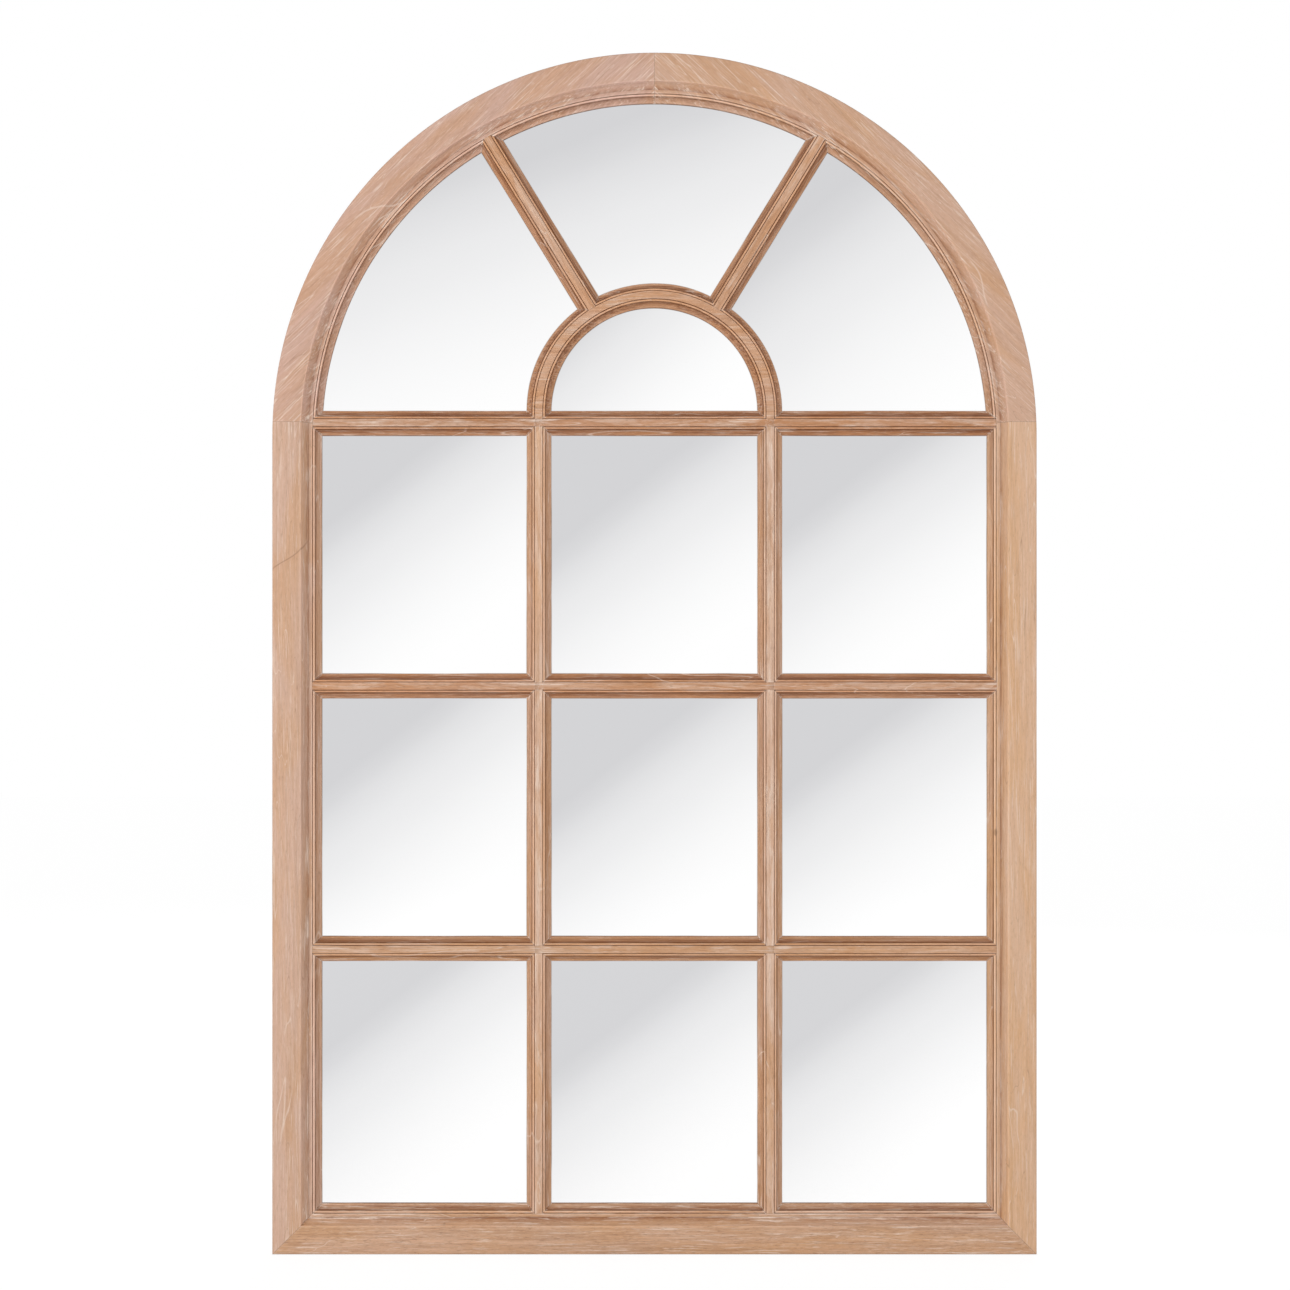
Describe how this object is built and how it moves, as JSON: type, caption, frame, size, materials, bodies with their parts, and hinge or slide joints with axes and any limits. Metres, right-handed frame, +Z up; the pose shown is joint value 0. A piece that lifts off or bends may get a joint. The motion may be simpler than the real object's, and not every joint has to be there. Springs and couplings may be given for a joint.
{
  "type": "arched window mirror",
  "caption": "Arched wall mirror made like a window: moulded limed-wood frame, glazing bars with a half-round fan, separate mirror panes, hung by D-rings.",
  "frame": {"origin": "middle of the width, at the height of the bottom edge, on the wall plane that the rubber bumpers touch", "axes": "+X to the right seen from the front, +Z up, and the mirror faces -Y"},
  "size_m": [1.145, 0.039, 1.8],
  "materials": {
    "limed_wood_frame": "limed and waxed, matt",
    "limed_wood_bars": "limed and waxed, matt",
    "mirror_glass": "silvered float glass, polished",
    "backing_fibreboard": "smooth hardboard, matt",
    "beech_dowel": "plain",
    "zinc_steel": "zinc plated",
    "bumper_rubber": "matt"
  },
  "bodies": {
    "frame": {"frame_stile_left": "limed_wood_frame", "frame_stile_right": "limed_wood_frame", "frame_arch_left": "limed_wood_frame", "frame_arch_right": "limed_wood_frame", "frame_rail_bottom": "limed_wood_frame", "transom_top": "limed_wood_bars", "transom_middle": "limed_wood_bars", "transom_lower": "limed_wood_bars", "mullion_left": "limed_wood_bars", "mullion_right": "limed_wood_bars", "fan_arch": "limed_wood_bars", "fan_spoke_left": "limed_wood_bars", "fan_spoke_right": "limed_wood_bars", "pane_bottom_left": "mirror_glass", "pane_bottom_centre": "mirror_glass", "pane_bottom_right": "mirror_glass", "pane_middle_left": "mirror_glass", "pane_middle_centre": "mirror_glass", "pane_middle_right": "mirror_glass", "pane_upper_left": "mirror_glass", "pane_upper_centre": "mirror_glass", "pane_upper_right": "mirror_glass", "pane_lunette": "mirror_glass", "pane_fan_left": "mirror_glass", "pane_fan_crown": "mirror_glass", "pane_fan_right": "mirror_glass", "backing_board": "backing_fibreboard", "frame_dowels": "beech_dowel", "hanger_strap_left": "zinc_steel", "hanger_strap_right": "zinc_steel", "hanger_screws": "zinc_steel", "backing_screws": "zinc_steel", "wall_bumpers": "bumper_rubber"},
    "ring_left": {"hanger_ring_left": "zinc_steel"},
    "ring_right": {"hanger_ring_right": "zinc_steel"}
  },
  "joints": [
    {"name": "ring_left_swing", "type": "hinge", "parent": "frame", "child": "ring_left", "pos_m": [-0.54825, -0.00365, 1.13], "axis": [1, 0, 0], "range_deg": [0, 180]},
    {"name": "ring_right_swing", "type": "hinge", "parent": "frame", "child": "ring_right", "pos_m": [0.54825, -0.00365, 1.13], "axis": [1, 0, 0], "range_deg": [0, 180]}
  ]
}
